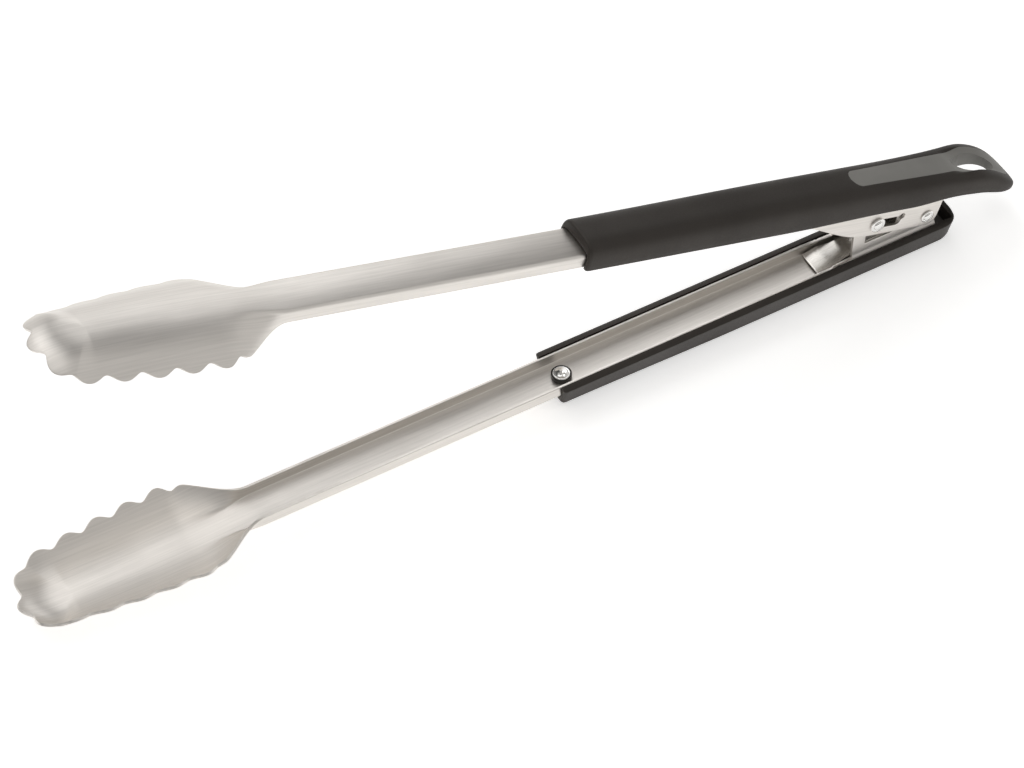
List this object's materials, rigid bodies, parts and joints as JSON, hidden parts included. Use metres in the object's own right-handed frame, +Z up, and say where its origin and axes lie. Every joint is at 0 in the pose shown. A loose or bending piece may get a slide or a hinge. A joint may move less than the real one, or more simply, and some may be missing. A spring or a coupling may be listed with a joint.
{
  "type": "spring loaded kitchen tongs",
  "caption": "Locking spring tongs with two stamped steel arms, scalloped scoop heads, a riveted spring hinge with a sliding lock pin, and moulded dark grips with a hang hole.",
  "frame": {"origin": "below the middle of the whole object, on the surface that it rests on", "axes": "+X towards the hinge and hang hole, -X towards the heads, +Y across the arms along the hinge rivet, +Z up, with the lower arm lying along X and the upper arm opened upwards"},
  "size_m": [0.4002, 0.0426, 0.1331],
  "materials": {
    "steel": "satin brushed stainless steel with grain along the arm",
    "polished": "bright polished steel",
    "spring": "rolled spring steel",
    "grip": "matte soft-touch moulding, warm near-black, fine grain",
    "inlay": "matte mid-grey soft insert, fine grain",
    "bush": "black nylon"
  },
  "bodies": {
    "lower_arm": {"lower_arm": "steel", "lower_grip": "grip", "lower_grip_bush": "bush", "lower_grip_screw": "polished", "hinge_rivet": "polished", "hinge_sleeve": "steel", "leaf_spring": "spring"},
    "upper_arm": {"upper_arm": "steel", "upper_grip": "grip", "upper_grip_inlay": "inlay", "upper_grip_bush": "bush", "upper_grip_screw": "polished"},
    "lock_pin": {"lock_pin": "polished"}
  },
  "joints": [
    {"name": "arm_hinge", "type": "hinge", "parent": "lower_arm", "child": "upper_arm", "pos_m": [0.16033, 0, 0.0181], "axis": [0, -1, 0], "range_deg": [0, 18.5], "stiffness_Nm_per_rad": 1, "springref_deg": -28.65, "deforming": ["leaf_spring"]},
    {"name": "lock_slide", "type": "slide", "parent": "upper_arm", "child": "lock_pin", "axis": [0.9563, 0, -0.2924], "range_m": [0, 0.009]}
  ]
}
